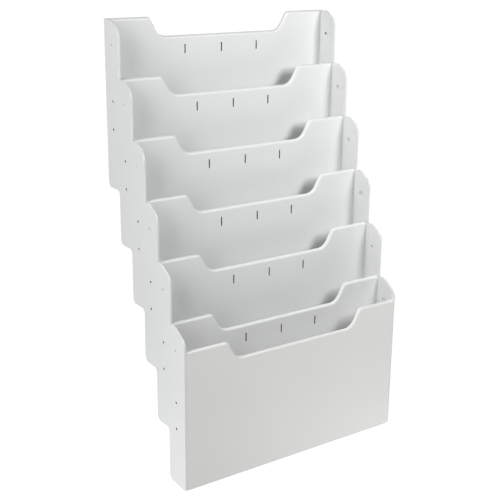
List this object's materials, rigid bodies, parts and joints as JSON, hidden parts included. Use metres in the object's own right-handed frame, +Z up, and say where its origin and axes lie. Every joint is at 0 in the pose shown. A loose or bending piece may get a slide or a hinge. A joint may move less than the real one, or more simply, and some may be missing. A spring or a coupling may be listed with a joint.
{
  "type": "wall file sorter",
  "caption": "Wall-hung file sorter: stepped pockets in a cascade, each back with a finger scoop and divider slots, between riveted side plates.",
  "frame": {"origin": "middle of the top tray's rear face, which lies on the wall, at the height of its two keyholes", "axes": "+X to the right seen from the front, +Y into the wall, +Z up; the pockets open upwards and face -Y"},
  "size_m": [0.31, 0.1675, 0.518],
  "materials": {
    "tray": "satin moulded light grey plastic",
    "side_plate": "satin moulded light grey plastic",
    "front_panel": "satin moulded light grey plastic",
    "rivet": "light grey plastic, dull"
  },
  "bodies": {
    "root": {"tray_1": "tray", "tray_2": "tray", "tray_3": "tray", "tray_4": "tray", "tray_5": "tray", "tray_6": "tray", "side_plate_left": "side_plate", "side_plate_right": "side_plate", "front_panel": "front_panel", "rivet_left_1a": "rivet", "rivet_left_1b": "rivet", "rivet_left_1c": "rivet", "rivet_left_2a": "rivet", "rivet_left_2b": "rivet", "rivet_left_2c": "rivet", "rivet_left_3a": "rivet", "rivet_left_3b": "rivet", "rivet_left_3c": "rivet", "rivet_left_4a": "rivet", "rivet_left_4b": "rivet", "rivet_left_4c": "rivet", "rivet_left_5a": "rivet", "rivet_left_5b": "rivet", "rivet_left_5c": "rivet", "rivet_left_6a": "rivet", "rivet_left_6b": "rivet", "rivet_left_6c": "rivet", "rivet_right_1a": "rivet", "rivet_right_1b": "rivet", "rivet_right_1c": "rivet", "rivet_right_2a": "rivet", "rivet_right_2b": "rivet", "rivet_right_2c": "rivet", "rivet_right_3a": "rivet", "rivet_right_3b": "rivet", "rivet_right_3c": "rivet", "rivet_right_4a": "rivet", "rivet_right_4b": "rivet", "rivet_right_4c": "rivet", "rivet_right_5a": "rivet", "rivet_right_5b": "rivet", "rivet_right_5c": "rivet", "rivet_right_6a": "rivet", "rivet_right_6b": "rivet", "rivet_right_6c": "rivet"}
  },
  "joints": []
}
